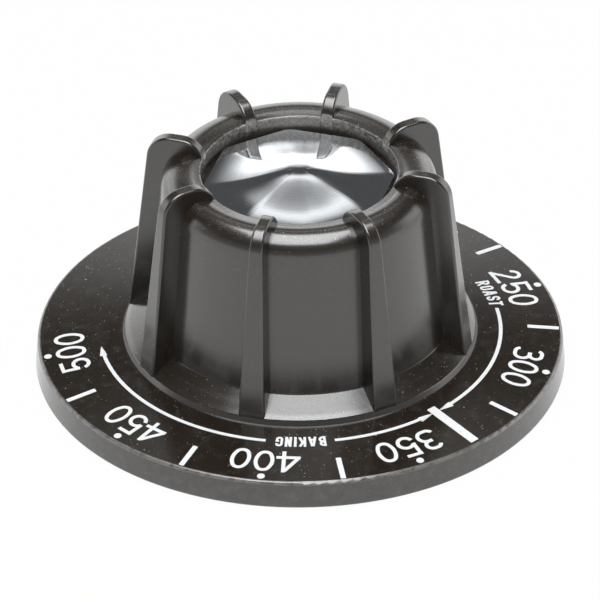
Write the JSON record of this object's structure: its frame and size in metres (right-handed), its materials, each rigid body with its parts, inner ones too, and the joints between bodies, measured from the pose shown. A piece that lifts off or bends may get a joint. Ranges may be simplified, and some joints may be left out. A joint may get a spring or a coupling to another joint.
{
  "type": "oven control knob",
  "caption": "Round black moulded oven control knob with arched grip ribs on a tapered hub, a wide dial skirt and a bright pressed metal centre.",
  "frame": {"origin": "centre of the plane of the skirt's back rim, on the shaft axis", "axes": "+Z along the shaft axis, out of the front of the knob; +X towards the flat of the shaft socket"},
  "size_m": [0.0634, 0.0634, 0.0291],
  "materials": {
    "knob_plastic": "semi-gloss moulded thermoset, lightly dusty, edges worn bright",
    "insert_metal": "bright metal with fine turned lines",
    "spring_steel": "plain spring steel strip"
  },
  "bodies": {
    "root": {"knob_body": "knob_plastic", "centre_insert": "insert_metal", "shaft_spring": "spring_steel"}
  },
  "joints": []
}
